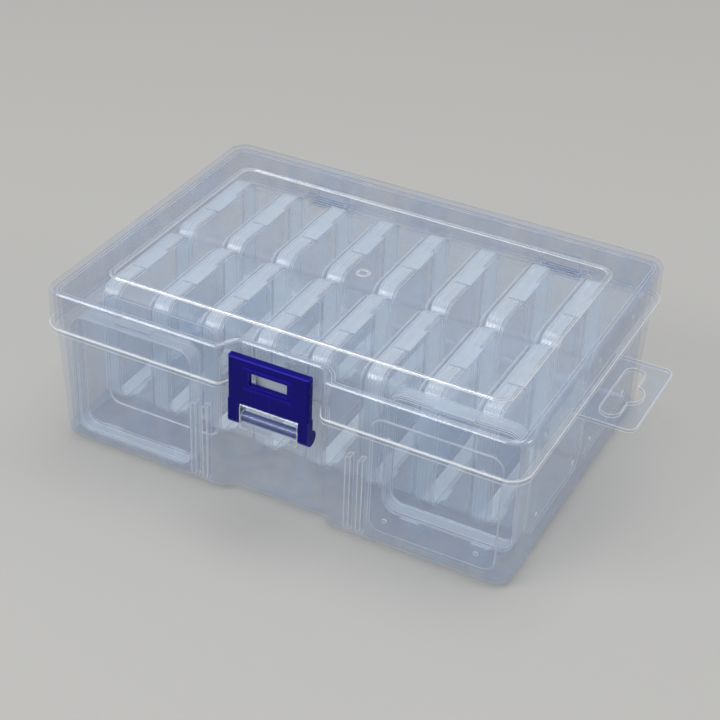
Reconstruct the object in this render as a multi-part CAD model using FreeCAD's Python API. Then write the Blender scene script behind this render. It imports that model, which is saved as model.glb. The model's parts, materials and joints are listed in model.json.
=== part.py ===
import FreeCAD, Part
import math
import os

from FreeCAD import Vector

# Clear craft storage box: an open box with a hinged lid, a blue latch on the front, and
# small lidded cases standing on edge inside. Millimetres. X runs along the front, Y to the
# back and Z up, with the origin at the centre of the underside.

quarter_turn = 90

# Clearances that several pieces share
cut_overrun = 1.0
face_gap = 0.3
pivot_clearance = 0.1

# Small case, described lying down with its lid up
case_side = 44.7
case_thickness = 18.6
case_corner_radius = 5.5
case_wall = 0.7
case_face = 1.0
case_face_round = 1.0
case_lid_depth = 5.5
case_rim_height = 3.9
case_rim_clearance = 0.1
case_flange_reach = 0.8
case_flange_thickness = 0.9

# Snap hooks on the small lid: a wide clasp on one side, two hinge hooks on the other
hook_wall = 0.5
hook_clearance = 0.1
hook_gap = 0.5
hook_lip = 0.8
hook_lip_clearance = 0.35
hook_root = 3.4
clasp_width = 13.0
hinge_hook_width = 6.0
hinge_hook_spacing = 24.0

# Moulding pips on the small base's outer face
pip_radius = 0.7
pip_height = 0.25
pip_inset = 6.4

# How the small cases stand in the box
cases_per_row = 8
case_gap = 0.35
row_gap = 0.4
end_room = 1.5
front_room = 0.8
back_room = 2.35
front_case_shift = 1.4
head_room = 7.8

# Box body
floor_thickness = 1.3
box_wall = 1.4
wall_lean = 0.2
rim_wall = 1.2
ledge_reach = 0.75
base_corner_radius = 6.5
base_edge_round = 3.6
foot_height = 5.0
floor_round = 1.5
least_corner_radius = 0.6

# Lid
lid_height = 14.7
lid_top = 1.4
lid_wall = 1.3
lid_clearance = 1.3
lid_edge_round = 1.8
lid_hollow_round = 1.2
lip_proud = 0.4
lip_height = 1.5
lip_corner_radius = 7.0
bead_end_inset = 13.0
bead_side_inset = 17.0
bead_width = 1.4
bead_height = 0.6
bead_corner_radius = 5.0
gate_ring_radius = 2.2
gate_ring_width = 0.6
gate_ring_height = 0.25

# Recessed bay in the middle of the front, where the latch sits
bay_mouth_width = 35.0
bay_depth = 6.6
bay_slope_share = 0.5
bay_flare = 1.5
bay_base_depth = 3.1
bay_base_slope_share = 1.0
bay_outer_radius = 3.0
bay_hollow_radius = 2.5

# Pairs of slot ribs inside the front wall
rib_thickness = 1.4
rib_slot = 2.8
rib_depth = 2.9
rib_height = 28.2
rib_room = 0.5

# Latch
latch_width = 27.6
latch_depth = 3.0
latch_skin = 1.8
latch_border = 1.5
latch_proud = 0.2
latch_round = 0.7
latch_leg_width = 3.4
latch_plate_height = 16.2
latch_pivot_drop = 8.4
latch_boss_radius = 2.6
latch_bar_radius = 1.6
window_width = 13.0
window_height = 4.6
window_drop = 4.1
grip_line_height = 0.35
grip_line_thickness = 0.6
grip_line_gap = 1.3
grip_line_width = 16.5

# Bracket on the box that holds the latch's pivot bar
bracket_side_gap = 0.4
bracket_front_wall = 0.8
bracket_above = 5.8
bracket_below = 4.0
bracket_round = 2.0
bracket_foot_round = 1.2
bracket_mouth = 2.6

# Catch lug on the lid, seen through the latch's window
lug_side_gap = 0.45
lug_round = 0.5

# Lid hinge: a bar between two ears on the box, held by a knuckle on the lid
hinge_spacing = 90.0
hinge_offset = 2.4
hinge_bar_radius = 1.3
hinge_ear_radius = 2.1
hinge_ear_thickness = 2.5
hinge_side_gap = 0.4
knuckle_length = 13.0
knuckle_wall = 0.9
knuckle_mouth = 2.1
knuckle_web_height = 3.0

# Hang tab on the right-hand end
tab_reach = 17.1
tab_width = 37.0
tab_thickness = 1.2
tab_centre_y = 1.4
tab_corner_radius = 3.0
hang_slot_length = 27.6
hang_slot_width = 6.45
hang_slot_inset = 7.15
hang_bump_radius = 5.1
hang_bump_reach = 3.5

# Small case places that follow from its sizes
case_half = case_side / 2
case_seam = case_thickness - case_lid_depth
lid_inner_half = case_half - case_wall
base_half = lid_inner_half - case_rim_clearance
flange_half = base_half + case_flange_reach
hook_inner = flange_half + hook_clearance
hook_half = hook_inner + hook_wall

# Layout of the cases in the box
case_pitch = case_thickness + pip_height + case_gap
row_length = cases_per_row * case_pitch - case_gap
rows_depth = 2 * case_side + row_gap
front_case_depth = case_thickness + pip_height
floor_half_length = row_length / 2 + end_room
floor_half_width = (front_room + front_case_depth + row_gap + rows_depth + back_room) / 2
front_case_y = front_room - floor_half_width
front_row_y = front_case_y + front_case_depth + row_gap + case_half
back_row_y = front_row_y + case_side + row_gap
case_centre_z = floor_thickness + face_gap + hook_half

# Heights of the box
lid_ceiling_z = case_centre_z + hook_half + head_room
lid_top_z = lid_ceiling_z + lid_top
lip_z = lid_top_z - lid_height
ledge_z = lip_z - face_gap
rim_z = lid_ceiling_z - face_gap

# Plan of the box: how far each wall stands inside the lid's lip
skirt_inset = lip_proud
hollow_inset = skirt_inset + lid_wall
rim_inset = hollow_inset + lid_clearance
rim_inner_inset = rim_inset + rim_wall
ledge_inset = rim_inset - ledge_reach
lip_half_length = floor_half_length + wall_lean + rim_inner_inset
lip_half_width = floor_half_width + wall_lean + rim_inner_inset
bay_wall_y = bay_depth - lip_half_width

# Latch places
latch_front_y = -lip_half_width - latch_proud
latch_rear_y = latch_front_y + latch_depth
pivot_z = ledge_z - latch_pivot_drop
pivot_y = latch_front_y + bracket_front_wall + latch_bar_radius + pivot_clearance
latch_foot_z = pivot_z + bracket_above + face_gap
latch_top_z = latch_foot_z + latch_plate_height
window_top_z = latch_top_z - window_drop
bracket_half = latch_width / 2 - latch_leg_width - bracket_side_gap

# Hinge places
hinge_y = lip_half_width + hinge_offset
hinge_z = ledge_z - hinge_ear_radius
knuckle_radius = hinge_bar_radius + pivot_clearance + knuckle_wall


# Shape helpers

def block(x0, x1, y0, y1, z0, z1):
    """Box between two opposite corners."""
    return Part.makeBox(x1 - x0, y1 - y0, z1 - z0, Vector(x0, y0, z0))


def rod_along_x(radius, x0, x1, y, z):
    return Part.makeCylinder(radius, x1 - x0, Vector(x0, y, z), Vector(1, 0, 0))


def inset_polygon(points, inset):
    """Corners of a polygon that runs anticlockwise, with every side moved inwards."""
    moved = []
    for before, here, after in zip(points[-1:] + points[:-1], points, points[1:] + points[:1]):
        first = (here - before).normalize()
        second = (after - here).normalize()
        first_normal = Vector(-first.y, first.x, 0)
        second_normal = Vector(-second.y, second.x, 0)
        lengthen = inset / (1 + first_normal.dot(second_normal))
        moved.append(here + (first_normal + second_normal) * lengthen)
    return moved


def rounded_wire(points, radii):
    """Closed wire through the points, with an arc of the given radius at each corner."""
    ends = []
    for before, here, after, radius in zip(points[-1:] + points[:-1], points,
                                           points[1:] + points[:1], radii):
        towards = (here - before).normalize()
        away = (after - here).normalize()
        half_turn = towards.getAngle(away) / 2
        reach = radius * math.tan(half_turn)
        sink = radius / math.cos(half_turn) - radius
        inwards = (away - towards).normalize()
        ends.append((here - towards * reach, here + inwards * sink, here + away * reach))
    edges = []
    for (start, middle, stop), following in zip(ends, ends[1:] + ends[:1]):
        edges.append(Part.Arc(start, middle, stop).toShape())
        edges.append(Part.LineSegment(stop, following[0]).toShape())
    return Part.Wire(edges)


def rounded_rectangle(half_x, half_y, radius, z):
    corners = [(-half_x, -half_y), (half_x, -half_y), (half_x, half_y), (-half_x, half_y)]
    return rounded_wire([Vector(x, y, z) for x, y in corners], [radius] * len(corners))


def prism(wire, height):
    return Part.Face(wire).extrude(Vector(0, 0, height))


def edges_at(shape, z):
    """Edges of a shape that lie flat at one height."""
    tolerance = shape.BoundBox.ZLength * Part.Precision.confusion()
    return [edge for edge in shape.Edges
            if abs(edge.BoundBox.ZMin - z) < tolerance and abs(edge.BoundBox.ZMax - z) < tolerance]


def edges_along_x(shape, y, z):
    """Edges of a shape that run along X through one point of the YZ plane."""
    tolerance = shape.BoundBox.DiagonalLength * Part.Precision.confusion()
    found = []
    for edge in shape.Edges:
        ends = [vertex.Point for vertex in edge.Vertexes]
        if all(abs(p.y - y) < tolerance and abs(p.z - z) < tolerance for p in ends):
            found.append(edge)
    return found


# Plan of the box with the latch bay in its front

def box_plan(half_length, half_width, corner_radius, mouth, depth, slope_share, mouth_radius, inset, z):
    """Plan outline, moved inwards by inset: hollow corners open as the others tighten."""
    bay_half = mouth - depth * slope_share
    corners = [(-half_length, -half_width), (-mouth, -half_width), (-bay_half, depth - half_width),
               (bay_half, depth - half_width), (mouth, -half_width), (half_length, -half_width),
               (half_length, half_width), (-half_length, half_width)]
    corner = max(corner_radius - inset, least_corner_radius)
    outer = max(mouth_radius - inset, least_corner_radius)
    hollow = bay_hollow_radius + inset
    radii = [corner, outer, hollow, hollow, outer, corner, corner, corner]
    points = [Vector(x, y, z) for x, y in corners]
    return rounded_wire(inset_polygon(points, inset), radii)


def upper_plan(inset, z):
    """Plan at the lid: everything here is an inset of the lid's lip."""
    return box_plan(lip_half_length, lip_half_width, lip_corner_radius, bay_mouth_width / 2,
                    bay_depth, bay_slope_share, bay_outer_radius, inset, z)


def base_plan(inset, z):
    """Plan of the box's foot."""
    mouth_radius = base_edge_round + least_corner_radius
    return box_plan(floor_half_length + box_wall, floor_half_width + box_wall, base_corner_radius,
                    bay_mouth_width / 2 + bay_flare, bay_base_depth, bay_base_slope_share,
                    mouth_radius, inset, z)


# Box body

def make_tub(foot_inset, low_z, edge_round, top_plan):
    """Solid with an upright, rounded foot and walls that lean out to a plan at the top."""
    foot = prism(base_plan(foot_inset, low_z), foot_height - low_z)
    foot = foot.makeFillet(edge_round, edges_at(foot, low_z))
    walls = Part.makeLoft([base_plan(foot_inset, foot_height), top_plan], True, True)
    return foot.fuse(walls).removeSplitter()


def make_body_shell():
    outside = make_tub(0, 0, base_edge_round, upper_plan(ledge_inset, ledge_z))
    rim = prism(upper_plan(rim_inset, ledge_z), rim_z - ledge_z)
    cavity = make_tub(box_wall, floor_thickness, floor_round, upper_plan(rim_inner_inset, rim_z))
    return outside, outside.fuse(rim).cut(cavity)


def make_slot_ribs(outside):
    """Two pairs of upright ribs on the inside of the front wall, cut to the box's outside."""
    pair_end = row_length / 2 - front_case_shift - case_side - rib_room
    ribs = []
    for side in (-1, 1):
        for far_edge in (pair_end, pair_end - rib_thickness - rib_slot):
            near, far = sorted((side * far_edge, side * (far_edge - rib_thickness)))
            rib = block(near, far, -lip_half_width, rib_depth - floor_half_width,
                        floor_thickness / 2, floor_thickness + rib_height)
            ribs.append(rib.common(outside))
    return ribs


def make_bracket():
    """Clear clip that grips the latch's bar, open below so that the bar snaps in."""
    front_y = latch_front_y + face_gap
    low_z = pivot_z - bracket_below
    high_z = pivot_z + bracket_above
    root_y = bay_wall_y + ledge_inset + box_wall / 2
    clip = block(-bracket_half, bracket_half, front_y, root_y, low_z, high_z)
    clip = clip.makeFillet(bracket_round, edges_along_x(clip, front_y, high_z))
    clip = clip.makeFillet(bracket_foot_round, edges_along_x(clip, front_y, low_z))
    bore_radius = latch_bar_radius + pivot_clearance
    start = -bracket_half - cut_overrun
    stop = bracket_half + cut_overrun
    bore = rod_along_x(bore_radius, start, stop, pivot_y, pivot_z)
    mouth = block(start, stop, pivot_y - bracket_mouth / 2, pivot_y + bracket_mouth / 2,
                  low_z - cut_overrun, pivot_z)
    return clip.cut(bore).cut(mouth)


def make_hinge_ears(station):
    """Two ears with a bar between them, on the back of the box."""
    inner = knuckle_length / 2 + hinge_side_gap
    outer = inner + hinge_ear_thickness
    root_y = lip_half_width - ledge_inset - box_wall / 2
    pieces = [rod_along_x(hinge_bar_radius, station - outer, station + outer, hinge_y, hinge_z)]
    for start in (station - outer, station + inner):
        stop = start + hinge_ear_thickness
        pieces.append(rod_along_x(hinge_ear_radius, start, stop, hinge_y, hinge_z))
        pieces.append(block(start, stop, root_y, hinge_y, hinge_z - hinge_ear_radius, ledge_z))
    return pieces


def make_hang_tab():
    """Flat tab under the lip with a slot for a peg."""
    end_x = lip_half_length + tab_reach
    root_x = lip_half_length - ledge_inset - box_wall / 2
    low_z = ledge_z - tab_thickness
    half = tab_width / 2
    plate = block(root_x, end_x, tab_centre_y - half, tab_centre_y + half, low_z, ledge_z)
    corners = [edge for edge in plate.Edges
               if edge.BoundBox.ZLength > tab_thickness / 2 and edge.BoundBox.XMin > lip_half_length]
    plate = plate.makeFillet(tab_corner_radius, corners)
    slot_x = end_x - hang_slot_inset - hang_slot_width / 2
    slot_end = (hang_slot_length - hang_slot_width) / 2
    cut_height = tab_thickness + 2 * cut_overrun
    cut_z = low_z - cut_overrun
    slot = block(slot_x - hang_slot_width / 2, slot_x + hang_slot_width / 2,
                 tab_centre_y - slot_end, tab_centre_y + slot_end, cut_z, cut_z + cut_height)
    for end in (-slot_end, slot_end):
        slot = slot.fuse(Part.makeCylinder(hang_slot_width / 2, cut_height,
                                           Vector(slot_x, tab_centre_y + end, cut_z)))
    bump_x = slot_x + hang_slot_width / 2 + hang_bump_reach - hang_bump_radius
    slot = slot.fuse(Part.makeCylinder(hang_bump_radius, cut_height, Vector(bump_x, tab_centre_y, cut_z)))
    return plate.cut(slot)


def make_box_body():
    outside, body = make_body_shell()
    additions = make_slot_ribs(outside) + [make_bracket(), make_hang_tab()]
    for station in (-hinge_spacing / 2, hinge_spacing / 2):
        additions += make_hinge_ears(station)
    return body.fuse(additions).removeSplitter()


# Box lid

def make_lid_shell():
    skirt = prism(upper_plan(skirt_inset, lip_z), lid_height)
    skirt = skirt.makeFillet(lid_edge_round, edges_at(skirt, lid_top_z))
    lip = prism(upper_plan(0, lip_z), lip_height)
    low_z = lip_z - cut_overrun
    hollow = prism(upper_plan(hollow_inset, low_z), lid_ceiling_z - low_z)
    hollow = hollow.makeFillet(lid_hollow_round, edges_at(hollow, lid_ceiling_z))
    return skirt.fuse(lip).cut(hollow)


def make_bead():
    """Low ridge round the top that locates a second box stacked on this one."""
    half_x = lip_half_length - bead_end_inset
    half_y = lip_half_width - bead_side_inset
    root_z = lid_top_z - lid_top / 2
    height = lid_top / 2 + bead_height
    ring = prism(rounded_rectangle(half_x, half_y, bead_corner_radius, root_z), height)
    inside = rounded_rectangle(half_x - bead_width, half_y - bead_width,
                               bead_corner_radius - bead_width, root_z)
    ring = ring.cut(prism(inside, height))
    return ring.makeChamfer(bead_height / 2, edges_at(ring, root_z + height))


def make_gate_ring():
    root_z = lid_top_z - lid_top / 2
    height = lid_top / 2 + gate_ring_height
    ring = Part.makeCylinder(gate_ring_radius, height, Vector(0, 0, root_z))
    return ring.cut(Part.makeCylinder(gate_ring_radius - gate_ring_width, height, Vector(0, 0, root_z)))


def make_catch_lug():
    """Block on the bay's wall that fills the view through the latch's window, over a ramp."""
    half = window_width / 2 - lug_side_gap
    front_y = latch_rear_y + face_gap
    low_z = window_top_z - window_height + lug_side_gap
    root_y = bay_wall_y + skirt_inset + lid_wall / 2
    lug = block(-half, half, front_y, root_y, low_z, window_top_z - lug_side_gap)
    front_edges = [edge for edge in lug.Edges if edge.BoundBox.YMax < front_y + lug_round]
    ramp_top = Vector(-half, front_y + lug_round, low_z)
    ramp_foot = Vector(-half, root_y, lip_z + lip_height)
    ramp_outline = Part.makePolygon([ramp_top, Vector(-half, root_y, low_z), ramp_foot, ramp_top])
    ramp = Part.Face(ramp_outline).extrude(Vector(2 * half, 0, 0))
    return lug.makeFillet(lug_round, front_edges).fuse(ramp).removeSplitter()


def make_knuckle(station):
    """Open hook on the back of the lid that snaps over the hinge bar, with its web."""
    start = station - knuckle_length / 2
    stop = station + knuckle_length / 2
    back_y = hinge_y + knuckle_radius
    knuckle = rod_along_x(knuckle_radius, start, stop, hinge_y, hinge_z)
    web = block(start, stop, hinge_y - knuckle_radius, back_y, hinge_z, lip_z + lip_height)
    root = block(start, stop, lip_half_width - skirt_inset - lid_wall / 2, back_y,
                 lip_z, lip_z + knuckle_web_height)
    bore = rod_along_x(hinge_bar_radius + pivot_clearance, start - cut_overrun, stop + cut_overrun,
                       hinge_y, hinge_z)
    mouth = block(start - cut_overrun, stop + cut_overrun, hinge_y - knuckle_mouth / 2,
                  hinge_y + knuckle_mouth / 2, hinge_z - knuckle_radius - cut_overrun, hinge_z)
    return knuckle.fuse([web, root]).cut(bore).cut(mouth)


def make_box_lid():
    additions = [make_bead(), make_gate_ring(), make_catch_lug()]
    for station in (-hinge_spacing / 2, hinge_spacing / 2):
        additions.append(make_knuckle(station))
    return make_lid_shell().fuse(additions).removeSplitter()


# Latch

def make_latch():
    half = latch_width / 2
    plate = block(-half, half, latch_front_y, latch_rear_y, latch_foot_z, latch_top_z)
    pocket = block(latch_border - half, half - latch_border, latch_front_y + latch_skin, latch_rear_y,
                   latch_foot_z, latch_top_z - latch_border)
    rounded = [edge for edge in plate.Edges if edge.BoundBox.ZLength > latch_plate_height / 2]
    for y in (latch_front_y, latch_rear_y):
        rounded += edges_along_x(plate, y, latch_top_z)
    latch = plate.makeFillet(latch_round, rounded).cut(pocket)
    inner = half - latch_leg_width
    pieces = [rod_along_x(latch_bar_radius, -inner, inner, pivot_y, pivot_z)]
    for start in (-half, inner):
        stop = start + latch_leg_width
        pieces.append(block(start, stop, latch_front_y, latch_rear_y, pivot_z, latch_foot_z + latch_round))
        pieces.append(rod_along_x(latch_boss_radius, start, stop, pivot_y, pivot_z))
    for line_z in (window_top_z + grip_line_gap, window_top_z - window_height - grip_line_gap):
        pieces.append(block(-grip_line_width / 2, grip_line_width / 2, latch_front_y - grip_line_height,
                            latch_front_y + latch_skin / 2, line_z - grip_line_thickness / 2,
                            line_z + grip_line_thickness / 2))
    latch = latch.fuse(pieces)
    window = block(-window_width / 2, window_width / 2, latch_front_y - cut_overrun,
                   latch_rear_y + cut_overrun, window_top_z - window_height, window_top_z)
    return latch.cut(window).removeSplitter()


# Small cases, lying with the outer face of the base on the XY plane

def make_case_base():
    radius = case_corner_radius - (case_half - base_half)
    rim_top = case_seam + case_rim_height
    tray = prism(rounded_rectangle(base_half, base_half, radius, 0), rim_top)
    tray = tray.makeFillet(case_face_round, edges_at(tray, 0))
    flange = prism(rounded_rectangle(flange_half, flange_half, radius + case_flange_reach,
                                     case_seam - case_flange_thickness), case_flange_thickness)
    inner_half = base_half - case_wall
    hollow = prism(rounded_rectangle(inner_half, inner_half, radius - case_wall, case_face), rim_top)
    base = tray.fuse(flange).cut(hollow)
    pip_place = base_half - pip_inset
    pips = []
    for x in (-pip_place, pip_place):
        for y in (-pip_place, pip_place):
            pips.append(Part.makeCylinder(pip_radius, pip_height + case_face / 2, Vector(x, y, -pip_height)))
    return base.fuse(pips).removeSplitter()


def make_hook(centre, width, side):
    """Hook that hangs from the small lid's skirt and grips under the base's flange."""
    lip_low = case_seam - case_flange_thickness - hook_gap - hook_lip
    start = centre - width / 2
    stop = centre + width / 2
    root = block(start, stop, case_half - case_wall / 2, hook_half, case_seam, case_seam + hook_root)
    arm = block(start, stop, hook_inner, hook_half, lip_low, case_seam)
    lip = block(start, stop, base_half + hook_lip_clearance, hook_inner, lip_low, lip_low + hook_lip)
    hook = root.fuse([arm, lip])
    if side < 0:
        hook = hook.mirror(Vector(0, 0, 0), Vector(0, 1, 0))
    return hook


def make_case_lid():
    lid = prism(rounded_rectangle(case_half, case_half, case_corner_radius, case_seam), case_lid_depth)
    lid = lid.makeFillet(case_face_round, edges_at(lid, case_thickness))
    hollow_z = case_seam - cut_overrun
    mouth = rounded_rectangle(lid_inner_half, lid_inner_half, case_corner_radius - case_wall, hollow_z)
    hollow = prism(mouth, case_thickness - case_face - hollow_z)
    hooks = [make_hook(0, clasp_width, 1)]
    for centre in (-hinge_hook_spacing / 2, hinge_hook_spacing / 2):
        hooks.append(make_hook(centre, hinge_hook_width, -1))
    return lid.cut(hollow).fuse(hooks).removeSplitter()


def stand(shape, turn, x, y):
    """Stand a case on its hinge side, turn it about Z and put its base face at a place."""
    placed = shape.copy()
    placed.rotate(Vector(0, 0, 0), Vector(1, 0, 0), quarter_turn)
    placed.rotate(Vector(0, 0, 0), Vector(0, 0, 1), turn)
    placed.translate(Vector(x, y, case_centre_z))
    return placed


def case_places():
    """Name, turn and place of every small case."""
    lid_to_left = -quarter_turn
    lid_to_front = 0
    lid_to_back = 2 * quarter_turn
    places = []
    for row, row_y in (("front_row", front_row_y), ("back_row", back_row_y)):
        for number in range(cases_per_row):
            base_x = number * case_pitch + case_thickness - row_length / 2
            places.append((f"{row}_case_{number + 1}", lid_to_left, base_x, row_y))
    side_x = row_length / 2 - case_half - front_case_shift
    places.append(("left_front_case", lid_to_front, -side_x, front_case_y + case_thickness))
    places.append(("right_front_case", lid_to_back, side_x, front_case_y + pip_height))
    return places


# Write every piece to its own file

def save(name, shape):
    shape.exportStep(f"parts/{name}.step")
    print(f"{name}: {len(shape.Solids)} solid, valid {shape.isValid()}, volume {shape.Volume:.1f}")


os.makedirs("parts", exist_ok=True)
save("box_body", make_box_body())
save("box_lid", make_box_lid())
save("latch", make_latch())
case_base = make_case_base()
case_lid = make_case_lid()
for name, turn, x, y in case_places():
    save(f"{name}_base", stand(case_base, turn, x, y))
    save(f"{name}_lid", stand(case_lid, turn, x, y))
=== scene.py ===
# %% [markdown]
# # A clear craft storage box
# The box is moulded from milky clear plastic: an open body, a hinged lid, a blue latch and
# eighteen small lidded cases inside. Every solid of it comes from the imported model, already at
# its real size and place. This lesson gives the solids their finish, adds the fine moulded
# details that are too small to matter to a mechanism, and sets up the picture.

# %% Load the frame
import json
import math

import bmesh
import bpy
from mathutils import Matrix, Vector

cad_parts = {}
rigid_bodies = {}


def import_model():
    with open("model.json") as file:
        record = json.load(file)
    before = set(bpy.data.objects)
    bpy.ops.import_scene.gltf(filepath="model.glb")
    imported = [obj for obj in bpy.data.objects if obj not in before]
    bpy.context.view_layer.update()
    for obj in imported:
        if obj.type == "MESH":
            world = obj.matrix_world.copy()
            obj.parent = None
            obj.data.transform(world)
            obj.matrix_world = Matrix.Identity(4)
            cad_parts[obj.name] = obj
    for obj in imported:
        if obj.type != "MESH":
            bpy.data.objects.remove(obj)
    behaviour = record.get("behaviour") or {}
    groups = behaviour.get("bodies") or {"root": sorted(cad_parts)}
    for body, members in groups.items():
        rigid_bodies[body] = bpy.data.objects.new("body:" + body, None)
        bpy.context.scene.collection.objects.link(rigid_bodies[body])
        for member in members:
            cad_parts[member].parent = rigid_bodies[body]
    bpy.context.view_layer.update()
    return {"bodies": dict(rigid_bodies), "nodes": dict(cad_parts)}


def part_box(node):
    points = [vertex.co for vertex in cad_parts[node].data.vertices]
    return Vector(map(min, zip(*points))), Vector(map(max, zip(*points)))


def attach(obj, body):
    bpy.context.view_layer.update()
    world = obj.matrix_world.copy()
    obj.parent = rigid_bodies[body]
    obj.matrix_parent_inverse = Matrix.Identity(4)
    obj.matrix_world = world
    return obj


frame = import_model()
scene = bpy.context.scene
nodes = frame["nodes"]

# %% [markdown]
# ## Camera
# The photograph looks down on the front right corner through a long lens. A camera could be
# placed by eye, but the corners of a box fix it exactly: its turn about the box, its height,
# a slight roll and the distance were worked out from the photographed outline of the lid and
# of the foot. The camera's axes are built from those angles, so each number keeps a meaning.

# %% Camera
MM = 0.001
CAMERA_TURN = math.radians(26.15)
CAMERA_RISE = math.radians(33.81)
CAMERA_ROLL = math.radians(2.49)
CAMERA_DISTANCE = 553.1 * MM
CAMERA_TARGET = Vector((5.23, -10.29, 31.04)) * MM
FOCAL_PIXELS = 1719.4
PICTURE_PIXELS = 720
SENSOR = 36.0
CLIP_NEAR = 10 * MM
CLIP_FAR = 20.0


def camera_axes():
    """Right, up and back directions of the camera, in the box's frame."""
    back = Vector((math.sin(CAMERA_TURN) * math.cos(CAMERA_RISE),
                   -math.cos(CAMERA_TURN) * math.cos(CAMERA_RISE),
                   math.sin(CAMERA_RISE)))
    level = Vector((math.cos(CAMERA_TURN), math.sin(CAMERA_TURN), 0))
    upright = back.cross(level)
    right = level * math.cos(CAMERA_ROLL) + upright * math.sin(CAMERA_ROLL)
    up = upright * math.cos(CAMERA_ROLL) - level * math.sin(CAMERA_ROLL)
    return right, up, back


def add_camera():
    data = bpy.data.cameras.new("camera")
    data.sensor_width = SENSOR
    data.lens = SENSOR * FOCAL_PIXELS / PICTURE_PIXELS
    data.clip_start = CLIP_NEAR
    data.clip_end = CLIP_FAR
    camera = bpy.data.objects.new("camera", data)
    scene.collection.objects.link(camera)
    right, up, back = camera_axes()
    turn = Matrix((right, up, back)).transposed().to_4x4()
    camera.matrix_world = Matrix.Translation(CAMERA_TARGET + back * CAMERA_DISTANCE) @ turn
    scene.camera = camera
    return camera


camera = add_camera()
print("camera lens", round(camera.data.lens, 2), "at", [round(v, 3) for v in camera.location])

# %% [markdown]
# ## Floor, world and lamps
# Clear plastic shows what lies behind it, so the floor is one plain pale grey: the milky walls
# then read as a cooler, denser film over it, and their edges, glossy and with a painted
# highlight, can still look brighter than the ground. It lies a hair below the box, because two
# faces in one plane render as specks. The world gives even light, and three large soft lamps give
# the long highlights along the lid's edges, where the painted highlight of the plastic adds to
# them. The lamps stay at a level where colours look as written. A path of light may pass many
# clear faces, because dozens of thin walls stand one behind the other.

# %% Piece and material helpers
def set_values(node, values):
    """Set inputs of a node, given by name, to plain values."""
    for name, value in values.items():
        node.inputs[name].default_value = value


def new_material(name):
    """Material with a Principled shader; returns it with its tree and its shader."""
    material = bpy.data.materials.new(name)
    material.use_nodes = True
    return material, material.node_tree, material.node_tree.nodes["Principled BSDF"]


def add_piece(name, bm, material):
    """Turn a bmesh into an object of the scene with one material."""
    mesh = bpy.data.meshes.new(name)
    bm.to_mesh(mesh)
    bm.free()
    mesh.materials.append(material)
    piece = bpy.data.objects.new(name, mesh)
    scene.collection.objects.link(piece)
    return piece


print("piece and material helpers ready")

# %% Floor and world
FLOOR_SIZE = 6.0
FLOOR_DROP = 0.2 * MM
FLOOR_COLOUR = (0.52, 0.515, 0.50, 1)
FLOOR_ROUGHNESS = 0.55
FLOOR_SPECULAR = 0.25
WORLD_COLOUR = (1.0, 1.0, 1.0, 1)
WORLD_STRENGTH = 0.34


def add_floor():
    material, _, shader = new_material("pale_floor")
    set_values(shader, {"Base Color": FLOOR_COLOUR, "Roughness": FLOOR_ROUGHNESS,
                        "Specular IOR Level": FLOOR_SPECULAR})
    bm = bmesh.new()
    bmesh.ops.create_grid(bm, x_segments=1, y_segments=1, size=FLOOR_SIZE / 2)
    bmesh.ops.translate(bm, verts=bm.verts[:], vec=(0, 0, -FLOOR_DROP))
    floor = add_piece("floor", bm, material)


def light_world():
    world = bpy.data.worlds.new("studio")
    world.use_nodes = True
    background = world.node_tree.nodes["Background"]
    set_values(background, {"Color": WORLD_COLOUR, "Strength": WORLD_STRENGTH})
    scene.world = world


add_floor()
light_world()
print("floor of", FLOOR_SIZE, "m and an even world")

# %% Paths of light
CLEAR_FACES = 64
ALL_BOUNCES = 5
DIFFUSE_BOUNCES = 2

scene.view_settings.view_transform = "Standard"
scene.cycles.transparent_max_bounces = CLEAR_FACES
scene.cycles.max_bounces = ALL_BOUNCES
scene.cycles.diffuse_bounces = DIFFUSE_BOUNCES
print("a path of light passes up to", CLEAR_FACES, "clear faces")

# %% Lamps
LAMPS = {
    "key_lamp": dict(place=(-0.60, -0.90, 0.95), size=(0.9, 0.6), watts=9.0),
    "top_lamp": dict(place=(0.10, 0.25, 1.40), size=(1.0, 0.8), watts=7.5),
    "side_lamp": dict(place=(1.20, 0.35, 0.55), size=(0.5, 0.4), watts=3.5),
}
LAMP_AIM = Vector((0, 0, 0.03))


def add_lamp(name, place, size, watts):
    data = bpy.data.lights.new(name, "AREA")
    data.shape = "RECTANGLE"
    data.size, data.size_y = size
    data.energy = watts
    lamp = bpy.data.objects.new(name, data)
    lamp.location = place
    lamp.rotation_euler = (LAMP_AIM - lamp.location).to_track_quat("-Z", "Y").to_euler()
    scene.collection.objects.link(lamp)


for lamp_name, lamp in LAMPS.items():
    add_lamp(lamp_name, **lamp)
print("lamps:", ", ".join(LAMPS))

# %% [markdown]
# ## Shared effects
# Moulded plastic is never perfectly even. Three effects come back in the materials: a cloudy
# haze with faint streaks where the melt flowed, hair-fine scratches on the pieces that hands
# touch, and masks of the edges that place a painted highlight and a painted dark outline. They
# could be painted on each piece, but a node group with its own named values serves all of them,
# and a material only says how strong an effect is. The groups put out masks; the shaders stay outside.

# %% Node helpers
def new_group(name, inputs, outputs):
    """Empty shader group with inputs (name, number or vector) and float outputs."""
    group = bpy.data.node_groups.new(name, "ShaderNodeTree")
    for label, value in inputs:
        kind = "NodeSocketVector" if isinstance(value, tuple) else "NodeSocketFloat"
        socket = group.interface.new_socket(label, in_out="INPUT", socket_type=kind)
        socket.default_value = value
    for label in outputs:
        group.interface.new_socket(label, in_out="OUTPUT", socket_type="NodeSocketFloat")
    return group, group.nodes.new("NodeGroupInput"), group.nodes.new("NodeGroupOutput")


def add_node(tree, kind, values=None, **settings):
    """Node of a kind, with its settings and the values of its input sockets."""
    node = tree.nodes.new(kind)
    for name, value in settings.items():
        setattr(node, name, value)
    set_values(node, values or {})
    return node


def feed(tree, socket, value):
    """Link another socket to an input, or set the input to a plain value."""
    if isinstance(value, bpy.types.NodeSocket):
        tree.links.new(value, socket)
    else:
        socket.default_value = value


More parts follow.
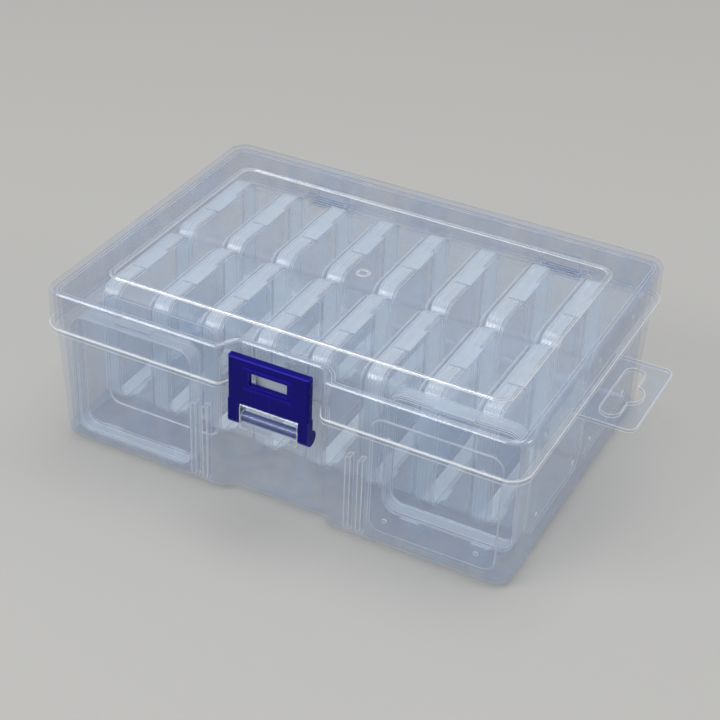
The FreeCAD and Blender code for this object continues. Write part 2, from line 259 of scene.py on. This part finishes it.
print("node helpers ready")

# %% Calculation nodes
NOISE_ROUGHNESS = 0.55


def do_math(tree, operation, first, second=None, clamp=False):
    """Math node whose inputs are sockets or plain numbers."""
    node = add_node(tree, "ShaderNodeMath", operation=operation, use_clamp=clamp)
    feed(tree, node.inputs[0], first)
    if second is not None:
        feed(tree, node.inputs[1], second)
    return node.outputs["Value"]


def remap(tree, value, low, high, to_low=0.0, to_high=1.0):
    """Map Range node with a smooth step."""
    ends = {"From Min": low, "From Max": high, "To Min": to_low, "To Max": to_high}
    node = add_node(tree, "ShaderNodeMapRange", ends, interpolation_type="SMOOTHSTEP")
    tree.links.new(value, node.inputs["Value"])
    return node.outputs["Result"]


def object_noise(tree, stretch, scale, detail, turn=(0, 0, 0)):
    """Noise over Object coordinates, stretched and turned by a Mapping node."""
    place = add_node(tree, "ShaderNodeTexCoord")
    mapping = add_node(tree, "ShaderNodeMapping", {"Scale": stretch, "Rotation": turn})
    grain = {"Scale": scale, "Detail": detail, "Roughness": NOISE_ROUGHNESS}
    noise = add_node(tree, "ShaderNodeTexNoise", grain)
    tree.links.new(place.outputs["Object"], mapping.inputs["Vector"])
    tree.links.new(mapping.outputs["Vector"], noise.inputs["Vector"])
    return noise.outputs["Fac"]


print("calculation nodes ready")

# %% Haze group
EVEN = (1, 1, 1)
CLOUDS = dict(stretch=EVEN, scale=34, detail=3)
CLOUD_SPAN = (0.32, 0.72)
STREAKS = dict(stretch=(1, 1, 0.04), scale=170, detail=1)
STREAK_SPAN = (0.35, 0.70)


def make_haze_group():
    """Cloudy patches a few centimetres wide, and finer upright flow streaks."""
    group, given, out = new_group("moulding_haze", [("Cloud", 0.6), ("Streak", 0.4)], ["Haze"])
    clouds = remap(group, object_noise(group, **CLOUDS), *CLOUD_SPAN)
    streaks = remap(group, object_noise(group, **STREAKS), *STREAK_SPAN)
    cloudy = do_math(group, "MULTIPLY", clouds, given.outputs["Cloud"])
    streaky = do_math(group, "MULTIPLY", streaks, given.outputs["Streak"])
    group.links.new(do_math(group, "ADD", cloudy, streaky, clamp=True), out.inputs["Haze"])
    return group


haze_group = make_haze_group()
print("group", haze_group.name)

# %% Scratch group
THREADS = [
    dict(stretch=(1, 0.02, 0.02), scale=1100, turn=(0.3, 0.2, 0.5), span=(0.70, 0.78)),
    dict(stretch=(0.03, 1, 0.03), scale=900, turn=(0.1, 0.6, 0.9), span=(0.71, 0.79)),
]
THREAD_DETAIL = 1


def add_threads(group, stretch, scale, turn, span):
    """Noise drawn out to threads, of which only the strongest stay."""
    return remap(group, object_noise(group, stretch, scale, THREAD_DETAIL, turn), *span)


def make_scratch_group():
    """Hair-fine marks: two sets of threads that cross at an angle."""
    group, given, out = new_group("fine_scratches", [("Amount", 0.5)], ["Scratches"])
    first, second = (add_threads(group, **threads) for threads in THREADS)
    marks = do_math(group, "MAXIMUM", first, second)
    scratches = do_math(group, "MULTIPLY", marks, given.outputs["Amount"])
    group.links.new(scratches, out.inputs["Scratches"])
    return group


scratch_group = make_scratch_group()
print("group", scratch_group.name)

# %% Edge masks
EDGE_RADIUS = 0.8 * MM
EDGE_SAMPLES = 6
RIM_BEND = (0.004, 0.04)
CORE_BEND = (0.04, 0.12)
SLANT_SPAN = (0.18, 0.45)
LEAN_SPAN = (0.35, 0.75)


def dot_product(tree, first, second):
    node = add_node(tree, "ShaderNodeVectorMath", operation="DOT_PRODUCT")
    for socket, vector in zip(node.inputs, (first, second)):
        tree.links.new(vector, socket)
    return node.outputs["Value"]


def sharp_masks(group, strength):
    """Outer ring and core of sharp edges, from how far a rounded normal leaves the true one: the ring
    takes a painted dark outline, the core a painted highlight.
    """
    rounded = add_node(group, "ShaderNodeBevel", {"Radius": EDGE_RADIUS}, samples=EDGE_SAMPLES)
    face = add_node(group, "ShaderNodeNewGeometry")
    turned = dot_product(group, rounded.outputs["Normal"], face.outputs["Normal"])
    bend = do_math(group, "SUBTRACT", 1.0, turned)
    rim = do_math(group, "MULTIPLY", remap(group, bend, *RIM_BEND), strength)
    core = do_math(group, "MULTIPLY", remap(group, bend, *CORE_BEND), strength)
    return rim, core


def axis_masks(group, axis, strength):
    """Fillets that slant to an axis, which join the painted highlight, and the band of faces that look
    across it.
    """
    place = add_node(group, "ShaderNodeTexCoord")
    lean = do_math(group, "ABSOLUTE", dot_product(group, place.outputs["Normal"], axis))
    across = do_math(group, "SUBTRACT", 1.0, do_math(group, "MULTIPLY", lean, lean))
    slant = do_math(group, "MULTIPLY", lean, do_math(group, "SQRT", across))
    fillet = do_math(group, "MULTIPLY", remap(group, slant, *SLANT_SPAN), strength)
    return fillet, remap(group, lean, *LEAN_SPAN, 1.0, 0.0)


print("edges look rounded by", round(EDGE_RADIUS / MM, 2), "mm")

# %% Edge group
def make_edge_group():
    """Masks for painted edge light: a rim for a painted dark outline, a core on the edge itself for a
    painted highlight, and a band across an axis.
    """
    inputs = [("Sharp", 1.0), ("Fillet", 0.4), ("Along", (0, 0, 1))]
    group, given, out = new_group("painted_edge_light", inputs, ["Rim", "Highlight", "Band"])
    rim, sharp = sharp_masks(group, given.outputs["Sharp"])
    fillet, band = axis_masks(group, given.outputs["Along"], given.outputs["Fillet"])
    group.links.new(rim, out.inputs["Rim"])
    group.links.new(do_math(group, "MAXIMUM", sharp, fillet), out.inputs["Highlight"])
    group.links.new(band, out.inputs["Band"])
    return group


edge_group = make_edge_group()
print("group", edge_group.name)

# %% [markdown]
# ## Milky clear plastic
# Real polypropylene scatters a little light in its thickness, so each wall is a thin cool film
# with a polished skin. Full refraction through dozens of nested walls would be slow and noisy,
# so the film is an alpha on the Principled shader: low on a wall seen straight on and higher
# where the wall is seen along its length, where most pieces also take a painted darker shade and
# the small cases take milk. A wall has two faces, so the one that is turned away from the eye
# keeps only a trace of the film. An edge has a painted dark outline round a painted highlight,
# and the skirts of the small lids are milkier than the rest. The alpha thins the gloss as well,
# so the lid and the box get a stronger specular and coat than a solid plastic would have.

# %% Material helpers
# Sockets of a Mix node by number, because their names repeat for numbers, vectors and colours.
MIX_FACTOR, MIX_FIRST, MIX_SECOND, MIX_RESULT = 0, 6, 7, 2


def use_group(tree, group, **values):
    """Place a shared effect in a material, with its own values."""
    node = tree.nodes.new("ShaderNodeGroup")
    node.node_tree = group
    set_values(node, values)
    return node


def mix_colours(tree, factor, first, second):
    """Mix node between two colours, each a socket or a plain colour."""
    node = add_node(tree, "ShaderNodeMix", data_type="RGBA")
    tree.links.new(factor, node.inputs[MIX_FACTOR])
    feed(tree, node.inputs[MIX_FIRST], first)
    feed(tree, node.inputs[MIX_SECOND], second)
    return node.outputs[MIX_RESULT]


def add_share(tree, total, mask, share, clamp=False):
    """A total and some share of a mask, added up."""
    return do_math(tree, "ADD", total, do_math(tree, "MULTIPLY", mask, share), clamp)


print("material helpers ready")

# %% Film of clear plastic
VEIL = (0.34, 0.52, 0.80, 1)
DEEP = (0.09, 0.19, 0.42, 1)
# Painted shade: the darker blue of walls seen along their length and of the dark rim round edges.
PAINTED_GRAZING_SHADE = (0.10, 0.19, 0.40, 1)
MILK = (0.84, 0.93, 1.0, 1)
# Painted highlight on the core of every edge.
PAINTED_HIGHLIGHT = (0.96, 0.98, 1.0, 1)
CLEAR_HAZE = dict(Cloud=0.45, Streak=0.45)
LEAST_HAZE = 0.6
GRAZING_BLEND = 0.35
GRAZING_POWER = 3.0
GRAZING_DENSITY = 0.40
RIM_DENSITY = 0.20
CORE_DENSITY = 0.75
BACK_DENSITY = 0.15


def film_masks(tree, **edge_values):
    """Masks of the film by name: Haze, Steep (seen along the wall), Rim (painted dark outline),
    Highlight (painted highlight) and Band.
    """
    facing = add_node(tree, "ShaderNodeLayerWeight", {"Blend": GRAZING_BLEND})
    masks = dict(use_group(tree, edge_group, **edge_values).outputs.items())
    masks["Haze"] = use_group(tree, haze_group, **CLEAR_HAZE).outputs["Haze"]
    masks["Steep"] = do_math(tree, "POWER", facing.outputs["Facing"], GRAZING_POWER)
    return masks


def film_colour(tree, masks, milk, turned_away):
    """Colour of the film: cloudy, another colour at a slant (a painted darker shade unless milk is
    given), a painted dark rim and a painted highlight on its edges.
    """
    colour = mix_colours(tree, masks["Haze"], DEEP, VEIL)
    # At a slant the film takes the given colour: a painted darker shade by default, milk on the small
    # cases.
    colour = mix_colours(tree, masks["Steep"], colour, turned_away)
    if milk:
        colour = mix_colours(tree, masks["Band"], colour, MILK)
    # Painted dark outline round every edge.
    colour = mix_colours(tree, masks["Rim"], colour, PAINTED_GRAZING_SHADE)
    # Painted highlight on the core of every edge.
    return mix_colours(tree, masks["Highlight"], colour, PAINTED_HIGHLIGHT)


def film_density(tree, masks, density, milk):
    """Alpha of the film, which is nearly nothing on faces turned away from the eye."""
    film = add_share(tree, density * LEAST_HAZE, masks["Haze"], density)
    film = add_share(tree, film, masks["Steep"], GRAZING_DENSITY)
    if milk:
        film = add_share(tree, film, masks["Band"], milk)
    away = add_node(tree, "ShaderNodeNewGeometry").outputs["Backfacing"]
    film = do_math(tree, "MULTIPLY", film, remap(tree, away, 0.0, 1.0, 1.0, BACK_DENSITY))
    film = add_share(tree, film, masks["Rim"], RIM_DENSITY)
    return add_share(tree, film, masks["Highlight"], CORE_DENSITY, clamp=True)


print("film of", BACK_DENSITY, "times its density on faces turned away")

# %% Clear plastics
ALONG_X = (1, 0, 0)
ALONG_Y = (0, 1, 0)
ALONG_Z = (0, 0, 1)
BOX = dict(density=0.18, along=ALONG_Z)
SMALL_BASE = dict(density=0.08, turned_away=MILK)
SMALL_LID = dict(density=0.08, sharp=0.5, fillet=0.4, turned_away=MILK)
# Sharp sets the painted dark rim and painted highlight on sharp edges, Fillet the painted highlight on
# slanted fillets.
CLEAR_PLASTICS = {
    "clear_lid": BOX,
    "clear_box": BOX,
    "clear_case": dict(SMALL_BASE, along=ALONG_X, fillet=0.6, milk=0.05),
    "clear_front_case": dict(SMALL_BASE, along=ALONG_Y, fillet=0.8),
    "clear_row_lid": dict(SMALL_LID, along=ALONG_X, milk=0.54),
    "clear_front_lid": dict(SMALL_LID, along=ALONG_Y, milk=0.32),
    # The ridges carry no dark rim, but a strong painted highlight on their slanted sides.
    "clear_ridge": dict(density=0.10, along=ALONG_Z, sharp=0.0, fillet=0.8),
    "frosted": dict(density=0.10, along=ALONG_Z, sharp=0.3, fillet=0.0, milk=0.85),
}


def clear_plastic(name, density, along, sharp=1.0, fillet=0.3, milk=0.0, turned_away=PAINTED_GRAZING_SHADE):
    """Clear plastic: a cloudy film of some density, edges with a painted dark rim and a painted
    highlight, and milk on faces across an axis.
    """
    material, tree, shader = new_material(name)
    masks = film_masks(tree, Sharp=sharp, Fillet=fillet, Along=along)
    tree.links.new(film_colour(tree, masks, milk, turned_away), shader.inputs["Base Color"])
    tree.links.new(film_density(tree, masks, density, milk), shader.inputs["Alpha"])
    return material


plastics = {name: clear_plastic(f"{name}_plastic", **values) for name, values in CLEAR_PLASTICS.items()}
print("clear plastics:", ", ".join(plastics))

# %% Gloss of the clear plastics
SKIN_SPECULAR = 0.7
COAT_IOR = 1.8
COAT_ROUGHNESS = 0.10
TOUCHED = ("clear_lid", "clear_box")
TOUCHED_GLOSS = dict(roughness=0.14, ior=2.0, coat=0.7)
TOUCHED_SCRATCHES = 0.15
TOUCHED_WAVES = dict(scale=70, detail=1, strength=0.03, height=0.2 * MM)
INNER = ("clear_case", "clear_front_case", "clear_row_lid", "clear_front_lid")
INNER_GLOSS = dict(roughness=0.28, ior=1.5, coat=0.3)
RIDGE_GLOSS = dict(roughness=0.12, ior=2.0, coat=1.0)


def polish(material, roughness, ior, coat):
    """Gloss of the skin, as plain values."""
    gloss = {"Roughness": roughness, "IOR": ior, "Specular IOR Level": SKIN_SPECULAR,
             "Coat Weight": coat, "Coat IOR": COAT_IOR, "Coat Roughness": COAT_ROUGHNESS}
    set_values(material.node_tree.nodes["Principled BSDF"], gloss)


def scratch_skin(material, amount, roughness):
    """Roughness of a skin, higher along hair-fine scratches."""
    tree = material.node_tree
    scratches = use_group(tree, scratch_group, Amount=amount).outputs["Scratches"]
    rough = do_math(tree, "ADD", scratches, roughness)
    tree.links.new(rough, tree.nodes["Principled BSDF"].inputs["Roughness"])


def bump_skin(material, scale, detail, strength, height):
    """Slight unevenness of a skin."""
    tree = material.node_tree
    bump = add_node(tree, "ShaderNodeBump", {"Strength": strength, "Distance": height})
    tree.links.new(object_noise(tree, EVEN, scale, detail), bump.inputs["Height"])
    tree.links.new(bump.outputs["Normal"], tree.nodes["Principled BSDF"].inputs["Normal"])


for name in TOUCHED:
    polish(plastics[name], **TOUCHED_GLOSS)
    scratch_skin(plastics[name], TOUCHED_SCRATCHES, TOUCHED_GLOSS["roughness"])
    bump_skin(plastics[name], **TOUCHED_WAVES)
for name in INNER:
    polish(plastics[name], **INNER_GLOSS)
polish(plastics["clear_ridge"], **RIDGE_GLOSS)
print("polished, and scratched where hands touch:", ", ".join(TOUCHED))

# %% [markdown]
# ## Blue latch
# The latch is a solid, deep blue moulding with a polished skin. Its edges look lighter, because
# light travels a little way into the plastic and comes out again where the part is thin. That
# is painted with the same edge mask, and a fine grain keeps the gloss from looking like glass.

# %% Blue latch material
LATCH_DARK = (0.003, 0.002, 0.13, 1)
LATCH_BLUE = (0.005, 0.003, 0.21, 1)
LATCH_EDGE = (0.030, 0.022, 0.58, 1)
LATCH_HAZE = dict(Cloud=0.7, Streak=0.2)
LATCH_EDGES = dict(Sharp=0.6, Fillet=0.5)
LATCH_SCRATCHES = 0.25
LATCH_ROUGHNESS = 0.24
LATCH_GRAIN = dict(scale=900, detail=2, strength=0.12, height=0.1 * MM)
LATCH_GLOSS = {"IOR": 1.45, "Specular IOR Level": 0.13}


def blue_plastic():
    """Deep blue solid plastic with lighter edges, fine grain and scratched gloss."""
    material, tree, shader = new_material("deep_blue_plastic")
    haze = use_group(tree, haze_group, **LATCH_HAZE).outputs["Haze"]
    edge = use_group(tree, edge_group, **LATCH_EDGES).outputs["Highlight"]
    body = mix_colours(tree, haze, LATCH_DARK, LATCH_BLUE)
    tree.links.new(mix_colours(tree, edge, body, LATCH_EDGE), shader.inputs["Base Color"])
    scratch_skin(material, LATCH_SCRATCHES, LATCH_ROUGHNESS)
    bump_skin(material, **LATCH_GRAIN)
    set_values(shader, LATCH_GLOSS)
    return material


latch_blue = blue_plastic()
print("latch plastic:", latch_blue.name)

# %% [markdown]
# ## Dressing the solids
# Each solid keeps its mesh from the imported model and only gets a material. The small cases stand
# close together, and shadow upon shadow would make the inside dull, while real milky plastic
# passes scattered light on. So the small cases cast no shadow.

# %% Dress the solids
FINISHES = {"latch": latch_blue, "box_lid": plastics["clear_lid"], "box_body": plastics["clear_box"]}
ROW_PLASTICS = {"base": "clear_case", "lid": "clear_row_lid"}
FRONT_PLASTICS = {"base": "clear_front_case", "lid": "clear_front_lid"}
case_names = [body for body in frame["bodies"] if body not in ("box", "lid", "latch")]


def dress(piece, material):
    piece.data.materials.clear()
    piece.data.materials.append(material)


for node_name, material in FINISHES.items():
    dress(nodes[node_name], material)
for case in case_names:
    choice = ROW_PLASTICS if "row" in case else FRONT_PLASTICS
    for half, plastic in choice.items():
        dress(nodes[f"{case}_{half}"], plastics[plastic])
        nodes[f"{case}_{half}"].visible_shadow = False
print("dressed", len(FINISHES), "pieces of the box and", len(case_names), "small cases")

# %% [markdown]
# ## Fine ridges on the small lids
# The skirt of each small lid carries three hair-fine ridges that run right round it and sparkle
# at the corners. They could be a bump in the material, but a bump has no outline and catches no
# light at the corners, so they are modelled: a square face gets its corners rounded by a bevel,
# its rim is extruded out, along and in again, and the first and last loops are bridged.

# %% Ridge ring
RIDGE_WIDTH = 0.40 * MM
RIDGE_PROUD = 0.12 * MM
RIDGE_SUNK = 0.05 * MM
SKIRT_CORNER = 5.5 * MM
CORNER_SEGMENTS = 6
ROUND_PROFILE = 0.5


def of_kind(parts, kind):
    """Those parts of a bmesh that are of one kind, such as its vertices."""
    return [part for part in parts if isinstance(part, kind)]


def extrude_rim(bm, edges, rise, factor):
    """Extrude a closed rim along Z and scale it about the Z axis; returns its new edges."""
    grown = bmesh.ops.extrude_edge_only(bm, edges=edges)["geom"]
    verts = of_kind(grown, bmesh.types.BMVert)
    bmesh.ops.translate(bm, verts=verts, vec=(0, 0, rise))
    bmesh.ops.scale(bm, verts=verts, vec=(factor, factor, 1))
    return of_kind(grown, bmesh.types.BMEdge)


def ridge_ring(skirt_half):
    """One ridge round a square skirt, from height zero up, as a closed ring."""
    bm = bmesh.new()
    low = skirt_half - RIDGE_SUNK
    high = skirt_half + RIDGE_PROUD
    bmesh.ops.create_grid(bm, x_segments=1, y_segments=1, size=low)
    bmesh.ops.bevel(bm, geom=bm.verts[:], offset=SKIRT_CORNER, offset_type="OFFSET",
                    profile=ROUND_PROFILE, segments=CORNER_SEGMENTS, affect="VERTICES", material=-1)
    bmesh.ops.delete(bm, geom=bm.faces[:], context="FACES_ONLY")
    first = bm.edges[:]
    rim = extrude_rim(bm, first, RIDGE_WIDTH / 4, high / low)
    rim = extrude_rim(bm, rim, RIDGE_WIDTH / 2, 1)
    last = extrude_rim(bm, rim, RIDGE_WIDTH / 4, low / high)
    bmesh.ops.bridge_loops(bm, edges=first + last)
    bmesh.ops.recalc_face_normals(bm, faces=bm.faces[:])
    return bm


print("ridges of", round(RIDGE_PROUD / MM, 2), "mm")

# %% Place of a small lid
def lid_frame(case):
    """Half size of a small lid's skirt, and the turn and place of its face, outward along Z."""
    low, high = (Vector(corner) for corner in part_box(f"{case}_lid"))
    base_low, base_high = (Vector(corner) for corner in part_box(f"{case}_base"))
    middle = (low + high) / 2
    way = middle - (base_low + base_high) / 2
    along = 0 if abs(way.x) > abs(way.y) else 1
    outward = Vector((0, 0, 0))
    outward[along] = math.copysign(1, way[along])
    face = middle.copy()
    face[along] = high[along] if outward[along] > 0 else low[along]
    skirt_half = (high[1 - along] - low[1 - along]) / 2
    turn = outward.to_track_quat("Z", "Y").to_matrix().to_4x4()
    return skirt_half, Matrix.Translation(face) @ turn


print("half of a skirt:", round(lid_frame(case_names[0])[0] / MM, 2), "mm")

# %% Ridges on every small lid
RIDGE_COUNT = 3
RIDGE_FIRST = 1.5 * MM
RIDGE_STEP = 1.15 * MM


def add_ridges(case):
    skirt_half, place = lid_frame(case)
    bm = ridge_ring(skirt_half)
    ring = bm.verts[:] + bm.edges[:] + bm.faces[:]
    for number in range(1, RIDGE_COUNT):
        copied = bmesh.ops.duplicate(bm, geom=ring)["geom"]
        verts = of_kind(copied, bmesh.types.BMVert)
        bmesh.ops.translate(bm, verts=verts, vec=(0, 0, -number * RIDGE_STEP))
    bmesh.ops.translate(bm, verts=bm.verts[:], vec=(0, 0, -RIDGE_FIRST))
    bmesh.ops.transform(bm, matrix=place, verts=bm.verts[:])
    piece = add_piece(f"{case}_ridges", bm, plastics["clear_ridge"])
    piece.visible_shadow = False
    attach(piece, case)
    return piece


ridges = [add_ridges(case) for case in case_names]
print("ridged", len(ridges), "small lids with", len(ridges[0].data.polygons), "faces each")

# %% [markdown]
# ## Frosted face of the catch lug
# Pale plastic fills the latch's window. The lug that the latch hooks over is clear in this
# finish and ends above the lower part of the window, so a thin milky plate stands in for it:
# it lies on the lug's front, reaches a little below it, and stays behind the latch.

# %% Lug face
FACE_LOW = Vector((-5.8, -57.45, 44.4)) * MM
FACE_HIGH = Vector((5.8, -57.10, 50.7)) * MM


def add_lug_face():
    bm = bmesh.new()
    bmesh.ops.create_cube(bm, size=1)
    bmesh.ops.scale(bm, verts=bm.verts[:], vec=FACE_HIGH - FACE_LOW)
    bmesh.ops.translate(bm, verts=bm.verts[:], vec=(FACE_LOW + FACE_HIGH) / 2)
    piece = add_piece("lug_face", bm, plastics["frosted"])
    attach(piece, "lid")
    return piece


lug_face = add_lug_face()
print("face of the lug:", [round(v / MM, 2) for v in lug_face.dimensions], "mm")
